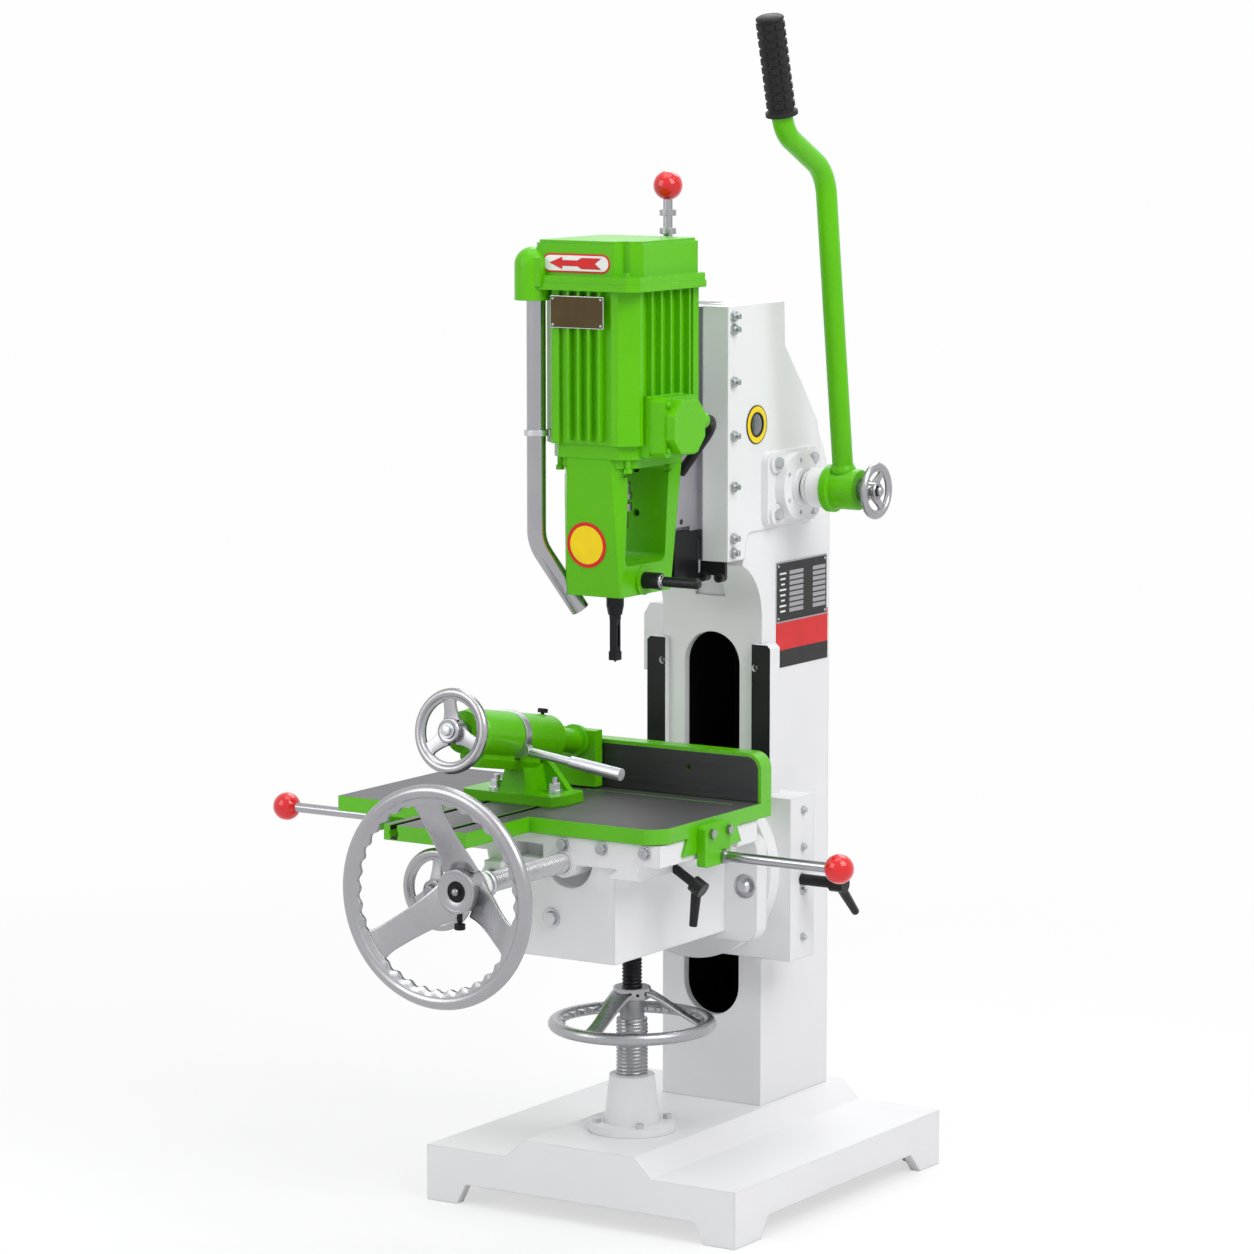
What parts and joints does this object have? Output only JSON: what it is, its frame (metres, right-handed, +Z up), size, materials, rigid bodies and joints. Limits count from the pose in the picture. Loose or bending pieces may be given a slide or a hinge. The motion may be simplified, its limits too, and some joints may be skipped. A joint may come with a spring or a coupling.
{
  "type": "floor-standing mortiser",
  "caption": "Floor-standing square-chisel mortiser with a lever-fed motor head, a tilting knee on a lift screw, a rack-moved cross table, a fence and a work vise.",
  "frame": {"origin": "centre of the bounding box on the floor", "axes": "+X to the right seen from the front, +Y from the operator to the column, +Z up"},
  "size_m": [0.951, 0.9004, 1.6341],
  "materials": {
    "green_paint": "gloss",
    "casting_paint": "satin",
    "black_finish": "satin",
    "ground_iron": "ground",
    "polished_wheel": "polished",
    "steel": "machined",
    "bright_plating": "polished",
    "red_ball": "gloss",
    "green_button": "gloss",
    "rubber": "matt"
  },
  "bodies": {
    "frame": {"base": "casting_paint", "column": "casting_paint", "column_ways": "black_finish", "head_gib": "ground_iron", "gib_screws": "steel", "pinion_flange": "casting_paint", "frame_bolts": "bright_plating", "pinion_bush": "steel", "switch_box": "casting_paint", "screw_pedestal": "casting_paint", "stop_bar": "black_finish"},
    "start_button": {"start_button": "green_button"},
    "stop_button": {"stop_button": "red_ball"},
    "head": {"head_slide": "ground_iron", "way_cover": "black_finish", "head_casting": "green_paint", "motor_frame": "green_paint", "motor_bolts": "black_finish", "fan_cover": "green_paint", "terminal_box": "green_paint", "motor_cable": "rubber", "blow_pipe": "bright_plating", "chisel_bushing": "black_finish", "hollow_chisel": "black_finish"},
    "spindle": {"rotor_shaft": "steel", "coupling": "steel", "auger_bit": "steel"},
    "feed_lever": {"feed_pinion": "steel", "pinion_shaft": "steel", "lever_tube": "green_paint", "lever_grip": "rubber"},
    "lock_wheel": {"lock_wheel": "polished_wheel"},
    "chisel_clamp": {"chisel_clamp": "black_finish"},
    "stop_rod": {"stop_rod": "bright_plating", "stop_ball": "red_ball"},
    "knee_slide": {"slide_plate": "casting_paint", "slide_screws": "steel", "lift_screw": "black_finish"},
    "lift_wheel": {"lift_wheel": "polished_wheel", "lift_nut": "steel"},
    "knee_lock": {"knee_lock": "black_finish"},
    "knee": {"knee": "casting_paint", "tilt_bolts": "bright_plating"},
    "saddle": {"saddle": "casting_paint", "saddle_bolts": "bright_plating"},
    "cross_screw": {"cross_screw": "steel", "cross_wheel": "polished_wheel"},
    "saddle_lock": {"saddle_lock": "black_finish"},
    "table": {"table": "green_paint", "table_rack": "ground_iron", "fence": "green_paint", "rod_brackets": "green_paint", "push_rods": "bright_plating", "rod_balls": "red_ball", "vise_body": "green_paint", "vise_bolts": "bright_plating"},
    "table_wheel": {"table_wheel": "polished_wheel"},
    "vise_jaw": {"vise_jaw": "green_paint"},
    "vise_wheel": {"vise_wheel": "polished_wheel"},
    "vise_lever": {"vise_lever": "bright_plating"}
  },
  "joints": [
    {"name": "start_press", "type": "slide", "parent": "frame", "child": "start_button", "axis": [1, 0, 0], "range_m": [0, 0.004], "stiffness_N_per_m": 800},
    {"name": "stop_press", "type": "slide", "parent": "frame", "child": "stop_button", "axis": [1, 0, 0], "range_m": [0, 0.004], "stiffness_N_per_m": 800},
    {"name": "head_feed", "type": "slide", "parent": "frame", "child": "head", "axis": [0, 0, -1], "range_m": [0, 0.125]},
    {"name": "spindle_spin", "type": "hinge", "parent": "head", "child": "spindle", "pos_m": [0.1065, -0.01675, 1.1], "axis": [0, 0, 1], "continuous": true},
    {"name": "lever_turn", "type": "hinge", "parent": "frame", "child": "feed_lever", "pos_m": [0.2565, 0.29425, 0.98], "axis": [1, 0, 0], "range_deg": [-0.5, 100]},
    {"name": "lock_wheel_turn", "type": "hinge", "parent": "feed_lever", "child": "lock_wheel", "pos_m": [0.3345, 0.29425, 0.98], "axis": [1, 0, 0], "range_deg": [-180, 180]},
    {"name": "chisel_clamp_turn", "type": "hinge", "parent": "head", "child": "chisel_clamp", "pos_m": [0.1665, -0.01675, 0.876], "axis": [1, 0, 0], "range_deg": [-120, 120]},
    {"name": "stop_rod_slide", "type": "slide", "parent": "head", "child": "stop_rod", "axis": [0, 0, 1], "range_m": [-0.05, 0.06]},
    {"name": "knee_lift", "type": "slide", "parent": "frame", "child": "knee_slide", "axis": [0, 0, -1], "range_m": [-0.04, 0.05]},
    {"name": "lift_wheel_turn", "type": "hinge", "parent": "frame", "child": "lift_wheel", "pos_m": [0.1065, 0.02575, 0.28], "axis": [0, 0, 1], "continuous": true},
    {"name": "knee_lock_turn", "type": "hinge", "parent": "knee_slide", "child": "knee_lock", "pos_m": [0.2665, 0.23525, 0.437], "axis": [1, 0, 0], "range_deg": [-30, 60]},
    {"name": "knee_tilt", "type": "hinge", "parent": "knee_slide", "child": "knee", "pos_m": [0.1065, 0.16925, 0.45], "axis": [0, 1, 0], "range_deg": [-15, 15]},
    {"name": "cross_feed", "type": "slide", "parent": "knee", "child": "saddle", "axis": [0, 1, 0], "range_m": [-0.06, 0.04]},
    {"name": "cross_screw_turn", "type": "hinge", "parent": "knee", "child": "cross_screw", "pos_m": [0.1065, -0.24075, 0.505], "axis": [0, 1, 0], "continuous": true},
    {"name": "saddle_lock_turn", "type": "hinge", "parent": "saddle", "child": "saddle_lock", "pos_m": [0.2235, -0.05575, 0.497], "axis": [1, 0, 0], "range_deg": [-30, 30]},
    {"name": "table_feed", "type": "slide", "parent": "saddle", "child": "table", "axis": [1, 0, 0], "range_m": [0, 0.2]},
    {"name": "table_wheel_turn", "type": "hinge", "parent": "saddle", "child": "table_wheel", "pos_m": [0.0015, -0.14075, 0.48], "axis": [0, 1, 0], "range_deg": [-10, 430]},
    {"name": "vise_ram", "type": "slide", "parent": "table", "child": "vise_jaw", "axis": [0, 0.9848, -0.1736], "range_m": [-0.008, 0.0035]},
    {"name": "vise_wheel_turn", "type": "hinge", "parent": "table", "child": "vise_wheel", "pos_m": [-0.0255, 0.06925, 0.631], "axis": [0, 0.9848, -0.1736], "continuous": true},
    {"name": "vise_lever_turn", "type": "hinge", "parent": "table", "child": "vise_lever", "pos_m": [-0.0255, 0.06925, 0.631], "axis": [0, -0.9848, 0.1736], "range_deg": [-5, 35]}
  ],
  "couplings": [
    {"joint": "lever_turn", "follows": "head_feed", "rad_per_m": 13.889},
    {"joint": "lift_wheel_turn", "follows": "knee_lift", "rad_per_m": 1256.6},
    {"joint": "cross_screw_turn", "follows": "cross_feed", "rad_per_m": 1256.6},
    {"joint": "table_wheel_turn", "follows": "table_feed", "rad_per_m": 37.037},
    {"joint": "vise_wheel_turn", "follows": "vise_ram", "rad_per_m": 1256.6}
  ]
}
